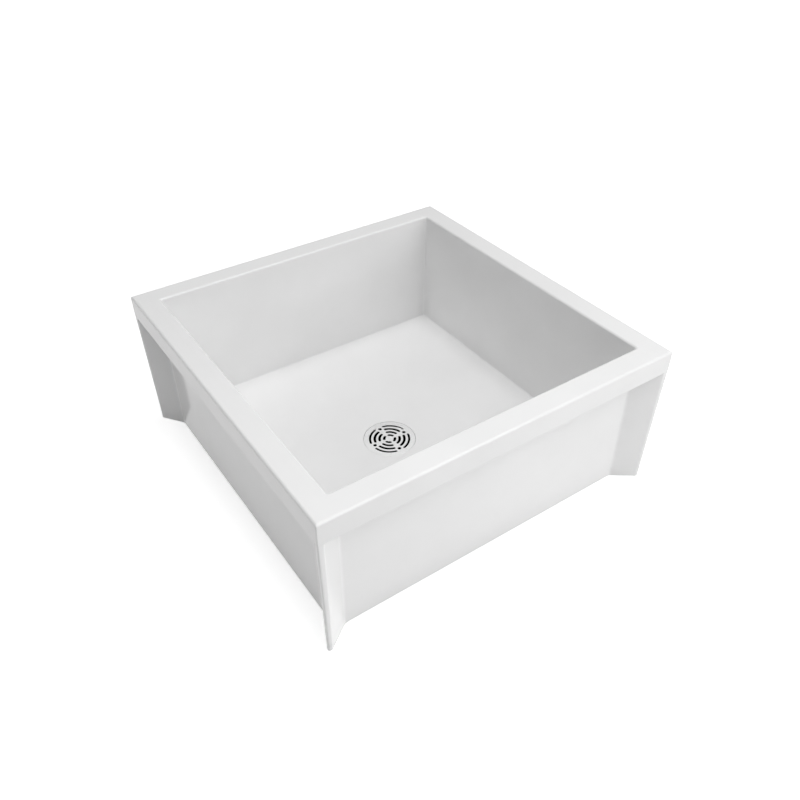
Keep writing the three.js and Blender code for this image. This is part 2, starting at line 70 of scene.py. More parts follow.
# ---------------------------------------------------------------- sizes of the moulding
RIM_THICKNESS = 8 * MM
RIM_INNER_INSET = 37.5 * MM
RIM_OUTER_ROUNDING = 4 * MM
RIM_INNER_ROUNDING = 3.5 * MM
APRON_HEIGHT = 37 * MM
APRON_THICKNESS = 7 * MM
APRON_CORNER_RADIUS = 1.5 * MM
APRON_LIP_ROUNDING = 1.2 * MM
CHANNEL_FILLET = 4 * MM
TIGHTEST_CORNER = 0.4 * MM

WALL_RECESS = 29.7 * MM
WALL_DRAFT = 1 * MM
BOWL_CORNER_RADIUS = 4 * MM
BOWL_RIM_CORNER_RADIUS = 4.5 * MM
BOWL_FLOOR_CORNER_RADIUS = 2 * MM
SKIRT_THICKNESS = 7.8 * MM
SKIRT_CORNER_RADIUS = 6 * MM
FOOT_ROUNDING = 0.8 * MM

# ---------------------------------------------------------------- sizes of the drain
SEAT_GAP = 0.3 * MM
FIT_CLEARANCE = 0.4 * MM
STRAINER_DROP = 0.5 * MM  # below the floor at the drain
STRAINER_CLEARANCE = 0.4 * MM
STRAINER_SEAT_WIDTH = 6.3 * MM
PIPE_RADIUS = 44.45 * MM  # a 3 inch drain pipe's outside
PIPE_CLEARANCE = 0.75 * MM
BOSS_WALL = 6 * MM
TURNED_EDGE = 0.3 * MM

DRAIN_OPENING = STRAINER_RADIUS + STRAINER_CLEARANCE
NECK_RADIUS = DRAIN_OPENING - FIT_CLEARANCE
THROAT_RADIUS = NECK_RADIUS - STRAINER_SEAT_WIDTH
STRAINER_SEAT = STRAINER_UNDERSIDE - SEAT_GAP
LEDGE_UNDERSIDE = gasket_high.z + SEAT_GAP
SHOULDER_TOP = gasket_low.z - SEAT_GAP
PIPE_STOP = seal_high.z + SEAT_GAP
PIPE_BORE = PIPE_RADIUS + PIPE_CLEARANCE
GROOVE_RADIUS = seal_high.x + FIT_CLEARANCE
BODY_SOCKET = BODY_RADIUS + FIT_CLEARANCE
RING_RADIUS = ring_high.x
RING_RECESS = RING_RADIUS + FIT_CLEARANCE
BOSS_RADIUS = RING_RECESS + BOSS_WALL

PLATE_EDGE = 0.25 * MM
SLOT_RINGS = 4
SLOTS_PER_RING = 4
SLOT_FIRST_RADIUS = 9.4 * MM
SLOT_PITCH = 8.3 * MM
SLOT_WIDTH = 4.5 * MM
SLOT_OUTER_WIDTH = 3.8 * MM
SLOT_SPAN = math.radians(68)
LIFT_HOLE_RADIUS = 3.1 * MM
LIFT_HOLE_PLACE = 30.4 * MM
LEG_COUNT = 4

SEAL_LIPS = 2
SEAL_BACK_WIDTH = 4.6 * MM
SEAL_LIP_REACH = 0.55 * MM  # how far the lips stand inside the pipe's outside
SEAL_LIP_TIP = 0.6 * MM  # height of a lip at its tip
SEAL_LIP_ROOT = 1.2 * MM  # height of a lip at its root
SEAL_EDGE = 0.15 * MM

SCREW_COUNT = 6
SCREW_WALL = 4.1 * MM  # socket in the basin to the edge of a screw
SCREW_RADIUS = 2 * MM
SCREW_CIRCLE = BODY_SOCKET + SCREW_WALL + SCREW_RADIUS
SCREW_LENGTH = 8 * MM
SCREW_HEAD_RADIUS = 3.6 * MM
SCREW_HEAD_EDGE = 0.25 * MM
SCREW_BEVEL_WIDTH = 0.15 * MM
SCREW_BEVEL_HEIGHT = 0.12 * MM
SCREW_TIP = 1.4 * MM
SCREW_TIP_RADIUS = 0.3 * MM
SCREW_TURN = 0.9  # radians from one screw's cross to the next one's
CROSS_WIDTH = 0.9 * MM
CROSS_LENGTH = 3.4 * MM
CROSS_DEPTH = 0.8 * MM

# ---------------------------------------------------------------- sizes of the floor and fins
FLOOR_FALL = 19.2 * MM  # from the walls to the drain
FLOOR_DRAIN_HEIGHT = STRAINER_TOP + STRAINER_DROP
FLOOR_EDGE_HEIGHT = FLOOR_DRAIN_HEIGHT + FLOOR_FALL
FLOOR_FILLET = 3 * MM
FLOOR_THICKNESS = 7 * MM
# The floor's slope at the drain's edge, as a rise over a run.
DRAIN_EDGE_RUN = 4 * MM
DRAIN_EDGE_RISE = 0.35 * MM
DRAIN_EDGE_ROUNDING = 0.5 * MM

RIB_THICKNESS = 4 * MM
RIB_SPACING_LIMIT = 60 * MM

FIN_ROOT = 45 * MM
FIN_TIP_WIDTH_TOP = 8.5 * MM
FIN_TIP_WIDTH_FOOT = 6 * MM
FIN_TIP_SETBACK_TOP = 0.1 * MM
FIN_TIP_SETBACK_FOOT = 3.5 * MM
FIN_TIP_ROUNDING_TOP = 2.5 * MM
FIN_TIP_ROUNDING_FOOT = 3.6 * MM
FIN_EDGE_ROUNDING = 1.8 * MM
FIN_ROOT_FILLET = 3.5 * MM
FIN_TOP = 0.25  # how deep a fin ends in the rim, as a share of the rim's thickness

# ---------------------------------------------------------------- how meshes are cut
CORNER_STEPS = 10
SIDE_POINTS = 20
ROUNDING_STEPS = 10
DISH_STEPS = 16
UNDERSIDE_STEPS = 4
LATHE_STEPS = 160
SMALL_LATHE_STEPS = 48
TURNED_EDGE_STEPS = 4
PLATE_EDGE_STEPS = 3
SLOT_STEPS = 28
SLOT_END_STEPS = 12
SHARP_ANGLE = math.radians(32)
WELD_DISTANCE = 0.002 * MM
CUT_PAST = 1 * MM  # how far a cutting tool reaches past the face that it cuts


# ---------------------------------------------------------------- mesh helpers
def mesh_object(name, points, faces):
    mesh = bpy.data.meshes.new(name)
    mesh.from_pydata([tuple(point) for point in points], [], faces)
    mesh.validate()
    made = bpy.data.objects.new(name, mesh)
    bpy.context.scene.collection.objects.link(made)
    return made


def loft(name, loops, closed=False):
    """A skin through loops of equal length: closed on itself, or with a face at each end."""
    count = len(loops[0])
    points = [point for loop in loops for point in loop]
    faces = []
    levels = len(loops) if closed else len(loops) - 1
    for level in range(levels):
        here = level * count
        above = (level + 1) % len(loops) * count
        for i in range(count):
            j = (i + 1) % count
            faces.append((here + i, here + j, above + j, above + i))
    if not closed:
        last = (len(loops) - 1) * count
        faces.append(tuple(range(count - 1, -1, -1)))
        faces.append(tuple(range(last, last + count)))
    return mesh_object(name, points, faces)


def apply_modifiers(made):
    """Replaces an object's mesh with what its modifiers make of it."""
    graph = bpy.context.evaluated_depsgraph_get()
    mesh = bpy.data.meshes.new_from_object(made.evaluated_get(graph))
    made.modifiers.clear()
    made.data = mesh


def combine(made, tools, operation):
    """Joins tools to a closed mesh, or cuts them from it, and removes them."""
    for tool in tools:
        boolean = made.modifiers.new(operation, "BOOLEAN")
        boolean.operation = operation
        boolean.solver = "MANIFOLD"
        boolean.object = tool
    bpy.context.view_layer.update()
    apply_modifiers(made)
    for tool in tools:
        bpy.data.objects.remove(tool)


def soften(made):
    """Smooth shading, with creases where faces meet at a real edge, and flat faces kept flat."""
    mesh = made.data
    mesh.polygons.foreach_set("use_smooth", [True] * len(mesh.polygons))
    mesh.set_sharp_from_angle(angle=SHARP_ANGLE)
    weighted = made.modifiers.new("flat faces lead", "WEIGHTED_NORMAL")
    weighted.keep_sharp = True
    weighted.weight = 100


def rounded(corners, steps=ROUNDING_STEPS, closed=False):
    """A profile of (x, z, rounding, extra) corners with each corner turned into an arc.

    Gives (x, z, extra) points. The ends of an open profile stay sharp.
    """
    points = []
    count = len(corners)
    for i, (x, z, radius, extra) in enumerate(corners):
        corner = Vector((x, z))
        if radius == 0 or (not closed and i in (0, count - 1)):
            points.append((x, z, extra))
            continue
        before = (Vector(corners[i - 1][:2]) - corner).normalized()
        after = (Vector(corners[(i + 1) % count][:2]) - corner).normalized()
        half = before.angle(after) / 2
        tangent = radius / math.tan(half)
        centre = corner + (before + after).normalized() * (radius / math.sin(half))
        start = corner + before * tangent - centre
        end = corner + after * tangent - centre
        turn = start.angle_signed(end)
        for step in range(steps + 1):
            angle = -turn * step / steps
            spoke = Matrix.Rotation(angle, 2) @ start
            points.append((centre.x + spoke.x, centre.y + spoke.y, extra))
    return points


def around(count):
    """The angles of a count of places spread evenly round Z."""
    return [2 * math.pi * i / count for i in range(count)]


def polar(radius, angle, height=0):
    return Vector((radius * math.cos(angle), radius * math.sin(angle), height))


def turned(name, corners):
    """A closed (radius, height, rounding) profile turned about Z."""
    profile = rounded([(*corner, None) for corner in corners], TURNED_EDGE_STEPS, closed=True)
    loops = [
        [polar(radius, angle, height) for angle in around(LATHE_STEPS)]
        for radius, height, _ in profile
    ]
    return loft(name, loops, closed=True)


def spindle(name, profile, steps=SMALL_LATHE_STEPS):
    """A solid (radius, height) profile turned about Z, with a flat face at each end."""
    loops = [
        [polar(radius, angle, height) for angle in around(steps)]
        for radius, height in profile
    ]
    return loft(name, loops)


def block(name, low, high):
    """A box between two opposite corners."""
    points = [
        (x, y, z)
        for z in (low[2], high[2])
        for y in (low[1], high[1])
        for x in (low[0], high[0])
    ]
    faces = [(0, 2, 3, 1), (4, 5, 7, 6), (0, 1, 5, 4), (2, 6, 7, 3), (0, 4, 6, 2), (1, 3, 7, 5)]
    return mesh_object(name, points, faces)


# ---------------------------------------------------------------- loops round the basin
def rectangle_loop(inset, height, corner_radius):
    """The basin's outline at an inset and a height, with rounded corners."""
    reach_x = WIDTH / 2 - inset - corner_radius
    reach_y = DEPTH / 2 - inset - corner_radius
    corners = [(reach_x, reach_y), (-reach_x, reach_y), (-reach_x, -reach_y), (reach_x, -reach_y)]
    loop = []
    for corner, (centre_x, centre_y) in enumerate(corners):
        for step in range(CORNER_STEPS + 1):
            angle = math.pi / 2 * (corner + step / CORNER_STEPS)
            x = centre_x + corner_radius * math.cos(angle)
            y = centre_y + corner_radius * math.sin(angle)
            loop.append(Vector((x, y, height)))
        next_x, next_y = corners[(corner + 1) % 4]
        side = Vector((next_x - centre_x, next_y - centre_y, 0))
        start = loop[-1]
        for point in range(1, SIDE_POINTS + 1):
            loop.append(start + side * (point / (SIDE_POINTS + 1)))
    return loop


def circle_loop(radius, height):
    """The circle whose points answer those of a rectangle_loop one by one."""
    count = 4 * (CORNER_STEPS + 1 + SIDE_POINTS)
    turns = [math.pi / 4 + (i - CORNER_STEPS / 2) * 2 * math.pi / count for i in range(count)]
    return [polar(radius, turn, height) for turn in turns]


def between(first, last, steps):
    """The loops strictly between two loops, at equal steps."""
    return [
        [a.lerp(b, step / steps) for a, b in zip(first, last)]
        for step in range(1, steps)
    ]


# ---------------------------------------------------------------- basin
def basin_skin():
    """Skirt, wall, hollow behind the apron, apron, rim, bowl, dished floor, boss and underside."""
    channel_top = HEIGHT - RIM_THICKNESS
    apron_bottom = HEIGHT - APRON_HEIGHT
    skirt_inset = WALL_RECESS + SKIRT_THICKNESS
    underside_edge = FLOOR_EDGE_HEIGHT - FLOOR_THICKNESS
    sides = rounded([
        (skirt_inset, underside_edge, 0, SKIRT_CORNER_RADIUS),
        (skirt_inset, 0, FOOT_ROUNDING, SKIRT_CORNER_RADIUS),
        (WALL_RECESS, 0, FOOT_ROUNDING, TIGHTEST_CORNER),
        (WALL_RECESS, channel_top, CHANNEL_FILLET, TIGHTEST_CORNER),
        (APRON_THICKNESS, channel_top, CHANNEL_FILLET, TIGHTEST_CORNER),
        (APRON_THICKNESS, apron_bottom, APRON_LIP_ROUNDING, TIGHTEST_CORNER),
        (0, apron_bottom, APRON_LIP_ROUNDING, None),
        (0, HEIGHT, RIM_OUTER_ROUNDING, None),
        (RIM_INNER_INSET, HEIGHT, RIM_INNER_ROUNDING, BOWL_RIM_CORNER_RADIUS),
        (RIM_INNER_INSET + WALL_DRAFT, FLOOR_EDGE_HEIGHT, FLOOR_FILLET, BOWL_CORNER_RADIUS),
        (RIM_INNER_INSET + 2 * FLOOR_FILLET, FLOOR_EDGE_HEIGHT, 0, BOWL_FLOOR_CORNER_RADIUS),
    ])
    loops = []
    for inset, height, corner in sides[:-1]:
        if corner is None:
            corner = max(APRON_CORNER_RADIUS - inset, TIGHTEST_CORNER)
        loops.append(rectangle_loop(inset, height, corner))
    floor_edge = loops[-1]
    boss_top = FLOOR_DRAIN_HEIGHT - FLOOR_THICKNESS
    drain = rounded([
        (DRAIN_OPENING + DRAIN_EDGE_RUN, FLOOR_DRAIN_HEIGHT + DRAIN_EDGE_RISE, 0, None),
        (DRAIN_OPENING, FLOOR_DRAIN_HEIGHT, DRAIN_EDGE_ROUNDING, None),
        (DRAIN_OPENING, LEDGE_UNDERSIDE, 0, None),
        (BODY_SOCKET, LEDGE_UNDERSIDE, 0, None),
        (BODY_SOCKET, BODY_BOTTOM, FOOT_ROUNDING, None),
        (RING_RECESS, BODY_BOTTOM, 0, None),
        (RING_RECESS, 0, FOOT_ROUNDING, None),
        (BOSS_RADIUS, 0, FOOT_ROUNDING, None),
        (BOSS_RADIUS, boss_top, 0, None),
    ])
    circles = [circle_loop(radius, height) for radius, height, _ in drain[1:]]
    loops += between(floor_edge, circles[0], DISH_STEPS)
    loops += circles
    loops += between(circles[-1], loops[0], UNDERSIDE_STEPS)
    return loft("basin_moulding", loops, closed=True)


def fin_outline(setback, tip_width, tip_rounding, height):
    """A fin at the (+X, +Y) corner, set out from the apron's faces, with soft edges."""
    bury = WALL_RECESS + SKIRT_THICKNESS / 2
    tip = Vector((setback, setback))
    edge = Vector((setback + tip_width, setback))
    root = Vector((FIN_ROOT, WALL_RECESS))
    anchor = Vector((FIN_ROOT + FIN_ROOT_FILLET, WALL_RECESS))
    buried = Vector((anchor.x, bury))

    def towards(start, end, distance):
        return start + (end - start).normalized() * distance

    def curve(start, control, end):
        shares = [step / ROUNDING_STEPS for step in range(ROUNDING_STEPS + 1)]
        return [start * (1 - t) ** 2 + control * 2 * t * (1 - t) + end * t * t for t in shares]

    half = [buried]
    half += curve(anchor, root, towards(root, edge, FIN_ROOT_FILLET))
    edge_start = towards(edge, root, FIN_EDGE_ROUNDING)
    edge_end = towards(edge, tip, FIN_EDGE_ROUNDING)
    half += curve(edge_start, edge, edge_end)
    mirrored = [Vector((point.y, point.x)) for point in reversed(half)]
    across = towards(tip, edge, tip_rounding)
    nose = curve(across, tip, Vector((across.y, across.x)))
    outline = half + nose + mirrored + [Vector((bury, bury))]
    return [Vector((WIDTH / 2 - point.x, DEPTH / 2 - point.y, height)) for point in outline]


def corner_fins():
    """A fin at each corner: drafted from the foot to the apron, and upright from there up."""
    apron_bottom = HEIGHT - APRON_HEIGHT
    fin_top = HEIGHT - RIM_THICKNESS * (1 - FIN_TOP)
    foot = (FIN_TIP_SETBACK_FOOT, FIN_TIP_WIDTH_FOOT, FIN_TIP_ROUNDING_FOOT)
    upper = (FIN_TIP_SETBACK_TOP, FIN_TIP_WIDTH_TOP, FIN_TIP_ROUNDING_TOP)
    outlines = [
        fin_outline(*foot, 0),
        fin_outline(*upper, apron_bottom),
        fin_outline(*upper, fin_top),
    ]
    fins = []
    for sign_x, sign_y in ((1, 1), (-1, 1), (-1, -1), (1, -1)):
        loops = [[Vector((p.x * sign_x, p.y * sign_y, p.z)) for p in loop] for loop in outlines]
        area = sum(a.x * b.y - b.x * a.y for a, b in zip(loops[0], loops[0][1:] + loops[0][:1]))
        if area < 0:
            loops = [list(reversed(loop)) for loop in loops]
        fins.append(loft("fin", loops))
    return fins


def rib_places(length):
    """The ribs' places along a length, in equal bays no wider than the limit."""
    bays = math.ceil(length / RIB_SPACING_LIMIT)
    return [-length / 2 + length * rib / bays for rib in range(1, bays)]


def rib_grid():
    """Crossed ribs that run from the skirt to the boss and end inside the floor."""
    inset = WALL_RECESS + SKIRT_THICKNESS
    reach_x = WIDTH / 2 - inset
    reach_y = DEPTH / 2 - inset
    inside = inset - SKIRT_THICKNESS / 2
    depth_in_floor = FLOOR_THICKNESS / 2
    half = RIB_THICKNESS / 2
    places_x, places_y = rib_places(2 * reach_x), rib_places(2 * reach_y)
    lengthwise = [
        block("rib", (place - half, -DEPTH / 2, 0), (place + half, DEPTH / 2, FLOOR_EDGE_HEIGHT))
        for place in places_x
    ]
    crosswise = [
        block("rib", (-WIDTH / 2, place - half, 0), (WIDTH / 2, place + half, FLOOR_EDGE_HEIGHT))
        for place in places_y
    ]
    grid = lengthwise[0]
    combine(grid, lengthwise[1:] + crosswise, "UNION")
    top_at_walls = FLOOR_EDGE_HEIGHT - FLOOR_THICKNESS + depth_in_floor
    top_at_drain = FLOOR_DRAIN_HEIGHT - FLOOR_THICKNESS + depth_in_floor
    space = loft("space", [
        rectangle_loop(inside, -CUT_PAST, SKIRT_CORNER_RADIUS),
        rectangle_loop(inside, top_at_walls, SKIRT_CORNER_RADIUS),
        circle_loop(BOSS_RADIUS, top_at_drain),
    ])
    combine(grid, [space], "INTERSECT")
    in_boss = (RING_RECESS + BOSS_RADIUS) / 2
    core = spindle("core", [(in_boss, -2 * CUT_PAST), (in_boss, FLOOR_EDGE_HEIGHT)], LATHE_STEPS)
    combine(grid, [core], "DIFFERENCE")
    return grid


def make_basin():
    """The moulding in one piece, with its fins, ribs and holes for the retaining screws."""
    basin = basin_skin()
    combine(basin, corner_fins() + [rib_grid()], "UNION")
    hole_radius = SCREW_RADIUS + SEAT_GAP
    hole_top = ring_low.z + SCREW_LENGTH + 2 * SEAT_GAP
    holes = []
    for angle in around(SCREW_COUNT):
        hole = spindle("hole", [(hole_radius, ring_low.z), (hole_radius, hole_top)])
        hole.location = polar(SCREW_CIRCLE, angle)
        holes.append(hole)
    combine(basin, holes, "DIFFERENCE")
    soften(basin)
    return basin


# ---------------------------------------------------------------- drain
def make_drain_body():
    """A neck that the strainer rests on, and a shoulder over the socket for the pipe's seal."""
    edge = TURNED_EDGE
    body = turned("drain_body_turned", [
        (BODY_RADIUS, BODY_BOTTOM, edge),
        (BODY_RADIUS, SHOULDER_TOP, edge),
        (NECK_RADIUS, SHOULDER_TOP, edge),
        (NECK_RADIUS, STRAINER_SEAT, edge),
        (THROAT_RADIUS, STRAINER_SEAT, edge),
        (THROAT_RADIUS, PIPE_STOP, edge),
        (GROOVE_RADIUS, PIPE_STOP, edge),
        (GROOVE_RADIUS, BODY_BOTTOM, edge),
    ])
    soften(body)
    return body


def make_gasket():
    """A flat ring round the neck, between the drain body's shoulder and the basin's ledge."""
    inner = NECK_RADIUS + FIT_CLEARANCE
    gasket = turned("drain_body_gasket_ring", [
        (BODY_RADIUS, gasket_low.z, SEAL_EDGE),
        (BODY_RADIUS, gasket_high.z, SEAL_EDGE),
        (inner, gasket_high.z, SEAL_EDGE),
        (inner, gasket_low.z, SEAL_EDGE),
    ])
    soften(gasket)
    return gasket


def make_seal():
    """A ring whose lips narrow towards the pipe."""
    outer = seal_high.x
    back = outer - SEAL_BACK_WIDTH
    lip_tip = PIPE_RADIUS - SEAL_LIP_REACH
    pitch = (seal_high.z - seal_low.z) / SEAL_LIPS
    corners = [(outer, seal_low.z, SEAL_EDGE), (outer, seal_high.z, SEAL_EDGE)]
    for lip in range(SEAL_LIPS, 0, -1):
        lip_top = seal_low.z + pitch * lip
        corners.append((back, lip_top, SEAL_EDGE if lip == SEAL_LIPS else 0))
        corners.append((lip_tip, lip_top, SEAL_EDGE))
        corners.append((lip_tip, lip_top - SEAL_LIP_TIP, SEAL_EDGE))
        corners.append((back, lip_top - SEAL_LIP_ROOT, SEAL_EDGE))
    corners.append((back, seal_low.z, SEAL_EDGE))
    seal = turned("pipe_seal_lipped", corners)
    soften(seal)
    return seal


def head_profile(gap):
    """The rim and the neck of a countersunk head, or of the hole for it at a gap."""
    rim_top = ring_low.z + SCREW_HEAD_EDGE
    return [
        (SCREW_HEAD_RADIUS + gap, rim_top),
        (SCREW_RADIUS + gap, rim_top + SCREW_HEAD_RADIUS - SCREW_RADIUS),
    ]


def make_ring():
    """The retaining ring, with a countersunk hole for each screw."""
    ring = turned("seal_retaining_ring_plate", [
        (RING_RADIUS, ring_low.z, TURNED_EDGE),
        (RING_RADIUS, ring_high.z, TURNED_EDGE),
        (PIPE_BORE, ring_high.z, TURNED_EDGE),
        (PIPE_BORE, ring_low.z, TURNED_EDGE),
    ])
    rim, neck = head_profile(SEAT_GAP)
    below = (rim[0], ring_low.z - CUT_PAST)
    above = (neck[0], ring_high.z + CUT_PAST)
    sinks = []
    for angle in around(SCREW_COUNT):
        sink = spindle("sink", [below, rim, neck, above])
        sink.location = polar(SCREW_CIRCLE, angle)
        sinks.append(sink)
    combine(ring, sinks, "DIFFERENCE")
    soften(ring)
    return ring


def make_screw(number, angle):
    """A countersunk screw whose cross-recessed head faces down."""
    rim, neck = head_profile(0)
    end = ring_low.z + SCREW_LENGTH
    screw = spindle(f"retainer_screw_{number}_turned", [
        (rim[0] - SCREW_BEVEL_WIDTH, ring_low.z),
        (rim[0], ring_low.z + SCREW_BEVEL_HEIGHT),
        rim,
        neck,
        (SCREW_RADIUS, end - SCREW_TIP),
        (SCREW_TIP_RADIUS, end),
    ])
    across, along = CROSS_WIDTH / 2, CROSS_LENGTH / 2
    below, top = ring_low.z - CUT_PAST, ring_low.z + CROSS_DEPTH
    arms = [
        block("arm", (-along, -across, below), (along, across, top)),
        block("arm", (-across, -along, below), (across, along, top)),
    ]
    combine(screw, arms, "DIFFERENCE")
    soften(screw)
    screw.location = polar(SCREW_CIRCLE, angle)
    screw.rotation_euler.z = number * SCREW_TURN
    return screw


# ---------------------------------------------------------------- strainer
def slot_outline(radius, width, middle):
    """A slot bent round the plate's centre, with round ends."""
    half = width / 2
    sweep = SLOT_SPAN / 2 - half / radius
    first, last = middle - sweep, middle + sweep
    along = [first + 2 * sweep * step / SLOT_STEPS for step in range(SLOT_STEPS + 1)]
    round_end = [math.pi * step / SLOT_END_STEPS for step in range(1, SLOT_END_STEPS)]
    points = [polar(radius + half, angle) for angle in along]
    points += [polar(radius, last) + polar(half, last + turn) for turn in round_end]
    points += [polar(radius - half, angle) for angle in reversed(along)]
    points += [polar(radius, first) + polar(half, first + math.pi + turn) for turn in round_end]
    return points


def circle_outline(centre, radius, steps):
    x, y = centre
    return [
        Vector((x + radius * math.cos(angle), y + radius * math.sin(angle)))
        for angle in around(steps)
    ]


def make_strainer_plate():
    """A filled outline with slots and holes, given its thickness and soft edges."""
    outlines = [circle_outline((0, 0), STRAINER_RADIUS, LATHE_STEPS)]
    for level in range(SLOT_RINGS):
        radius = SLOT_FIRST_RADIUS + SLOT_PITCH * level
        width = SLOT_OUTER_WIDTH if level == SLOT_RINGS - 1 else SLOT_WIDTH
        for angle in around(SLOTS_PER_RING):
            outlines.append(slot_outline(radius, width, angle + math.pi / SLOTS_PER_RING))
    for angle in around(SLOTS_PER_RING):
        centre = (LIFT_HOLE_PLACE * math.cos(angle), LIFT_HOLE_PLACE * math.sin(angle))
        outlines.append(circle_outline(centre, LIFT_HOLE_RADIUS, SMALL_LATHE_STEPS))
    curve = bpy.data.curves.new("strainer outline", "CURVE")
    curve.dimensions = "2D"
    curve.fill_mode = "BOTH"
    curve.extrude = (STRAINER_TOP - STRAINER_UNDERSIDE) / 2 - PLATE_EDGE
    curve.bevel_depth = PLATE_EDGE
    curve.bevel_resolution = PLATE_EDGE_STEPS
    curve.offset = -PLATE_EDGE
    for outline in outlines:
        spline = curve.splines.new("POLY")
        spline.points.add(len(outline) - 1)
        for point, place in zip(spline.points, outline):
            point.co = (place.x, place.y, 0, 1)
        spline.use_cyclic_u = True
    drawn = bpy.data.objects.new("strainer outline", curve)
    bpy.context.scene.collection.objects.link(drawn)
    bpy.context.view_layer.update()
    graph = bpy.context.evaluated_depsgraph_get()
    mesh = bpy.data.meshes.new_from_object(drawn.evaluated_get(graph))
    bpy.data.objects.remove(drawn)
    plate = bpy.data.objects.new("strainer_plate_pressed", mesh)
    bpy.context.scene.collection.objects.link(plate)
    mesh.transform(Matrix.Translation((0, 0, (STRAINER_TOP + STRAINER_UNDERSIDE) / 2)))
    weld = plate.modifiers.new("weld", "WELD")
    weld.merge_threshold = WELD_DISTANCE
    bpy.context.view_layer.update()
    apply_modifiers(plate)
    soften(plate)
    return plate


# ---------------------------------------------------------------- materials
NOISE_LOW, NOISE_HIGH = 0.3, 0.7  # a noise texture's values lie mostly between these
STEEL_ROUGHNESS_SWING = 0.06
RINGS_SHARE = 0.5  # of the steel's roughness pattern, and the rest of it is cloudy


def new_material(name):
    material = bpy.data.materials.new(name)
    material.use_nodes = True
    nodes, links = material.node_tree.nodes, material.node_tree.links
    return material, nodes, links, nodes["Principled BSDF"]


def object_place(nodes):
    return nodes.new("ShaderNodeTexCoord").outputs["Object"]


def maths(nodes, links, operation, *values):
    """The result of a Math node on sockets and plain numbers."""
    made = nodes.new("ShaderNodeMath")
    made.operation = operation
    for entry, value in zip(made.inputs, values):
        if isinstance(value, bpy.types.NodeSocket):
            links.new(value, entry)
        else:
            entry.default_value = value
    return made.outputs["Value"]


def vector_length(nodes, links, vector):
    made = nodes.new("ShaderNodeVectorMath")
    made.operation = "LENGTH"
    links.new(vector, made.inputs[0])
    return made.outputs["Value"]


def map_range(nodes, links, value, before, after):
    """A value whose (low, high) span before becomes the (low, high) span after."""
    made = nodes.new("ShaderNodeMapRange")
    made.inputs["From Min"].default_value, made.inputs["From Max"].default_value = before
    made.inputs["To Min"].default_value, made.inputs["To Max"].default_value = after
    links.new(value, made.inputs["Value"])
    return made.outputs["Result"]


def noise(nodes, links, place, scale, detail=3.0):
    made = nodes.new("ShaderNodeTexNoise")
    made.inputs["Scale"].default_value = scale
    made.inputs["Detail"].default_value = detail
    links.new(place, made.inputs["Vector"])
    return made.outputs["Fac"]


def spread(nodes, links, value, low, high):
    """A noise value spread over low to high."""
    return map_range(nodes, links, value, (NOISE_LOW, NOISE_HIGH), (low, high))


def tint(nodes, links, place, scale, first, second):
    """A colour that drifts between two colours over a surface."""
    made = nodes.new("ShaderNodeMix")
    made.data_type = "RGBA"
    made.inputs["A"].default_value = (*first, 1)
    made.inputs["B"].default_value = (*second, 1)
    share = spread(nodes, links, noise(nodes, links, place, scale), low=0, high=1)
    links.new(share, made.inputs["Factor"])
    return made.outputs["Result"]


def bump(nodes, links, pattern, strength, distance, beneath=None):
    """A normal that a pattern bumps: the bare surface's, or the one of a bump beneath."""
    made = nodes.new("ShaderNodeBump")
    made.inputs["Strength"].default_value = strength
    made.inputs["Distance"].default_value = distance
    links.new(pattern, made.inputs["Height"])
    if beneath is not None:
        links.new(beneath, made.inputs["Normal"])
    return made.outputs["Normal"]


def moulding_material():
    """White mineral-filled composite: satin gloss with the faint ripple of a moulded face."""
    material, nodes, links, shader = new_material("moulding white")
    place = object_place(nodes)
    dark, pale = (0.845, 0.845, 0.845), (0.875, 0.875, 0.875)
    colour = tint(nodes, links, place, scale=9.0, first=dark, second=pale)
    links.new(colour, shader.inputs["Base Color"])
    gloss = spread(nodes, links, noise(nodes, links, place, scale=26.0), low=0.09, high=0.13)
    links.new(gloss, shader.inputs["Roughness"])
    waves = noise(nodes, links, place, scale=60.0, detail=2.0)
    ripple = bump(nodes, links, waves, strength=0.12, distance=0.12 * MM)
    grain = noise(nodes, links, place, scale=700.0, detail=2.0)
    peel = bump(nodes, links, grain, strength=0.12, distance=0.02 * MM, beneath=ripple)
    links.new(peel, shader.inputs["Normal"])
    shader.inputs["IOR"].default_value = 1.5
    return material


def steel_material(name, grey, roughness, ring_scale):
    """Stainless steel with the fine rings that polishing on a spindle leaves."""
    material, nodes, links, shader = new_material(name)
    place = object_place(nodes)
    flat = nodes.new("ShaderNodeVectorMath")
    flat.operation = "MULTIPLY"
    flat.inputs[1].default_value = (1, 1, 0)
    links.new(place, flat.inputs[0])
    rings = nodes.new("ShaderNodeTexNoise")
    rings.noise_dimensions = "1D"
    rings.inputs["Scale"].default_value = ring_scale
    rings.inputs["Detail"].default_value = 4.0
    links.new(vector_length(nodes, links, flat.outputs["Vector"]), rings.inputs["W"])
    cloud = noise(nodes, links, place, scale=120.0)
    ringed = maths(nodes, links, "MULTIPLY", rings.outputs["Fac"], RINGS_SHARE)
    both = maths(nodes, links, "MULTIPLY_ADD", cloud, 1 - RINGS_SHARE, ringed)
    least, most = roughness - STEEL_ROUGHNESS_SWING, roughness + STEEL_ROUGHNESS_SWING
    links.new(spread(nodes, links, both, least, most), shader.inputs["Roughness"])
    turned_face = bump(nodes, links, rings.outputs["Fac"], strength=0.15, distance=0.02 * MM)
    links.new(turned_face, shader.inputs["Normal"])
    shader.inputs["Base Color"].default_value = (grey, grey, grey, 1)
    shader.inputs["Metallic"].default_value = 1
    return material


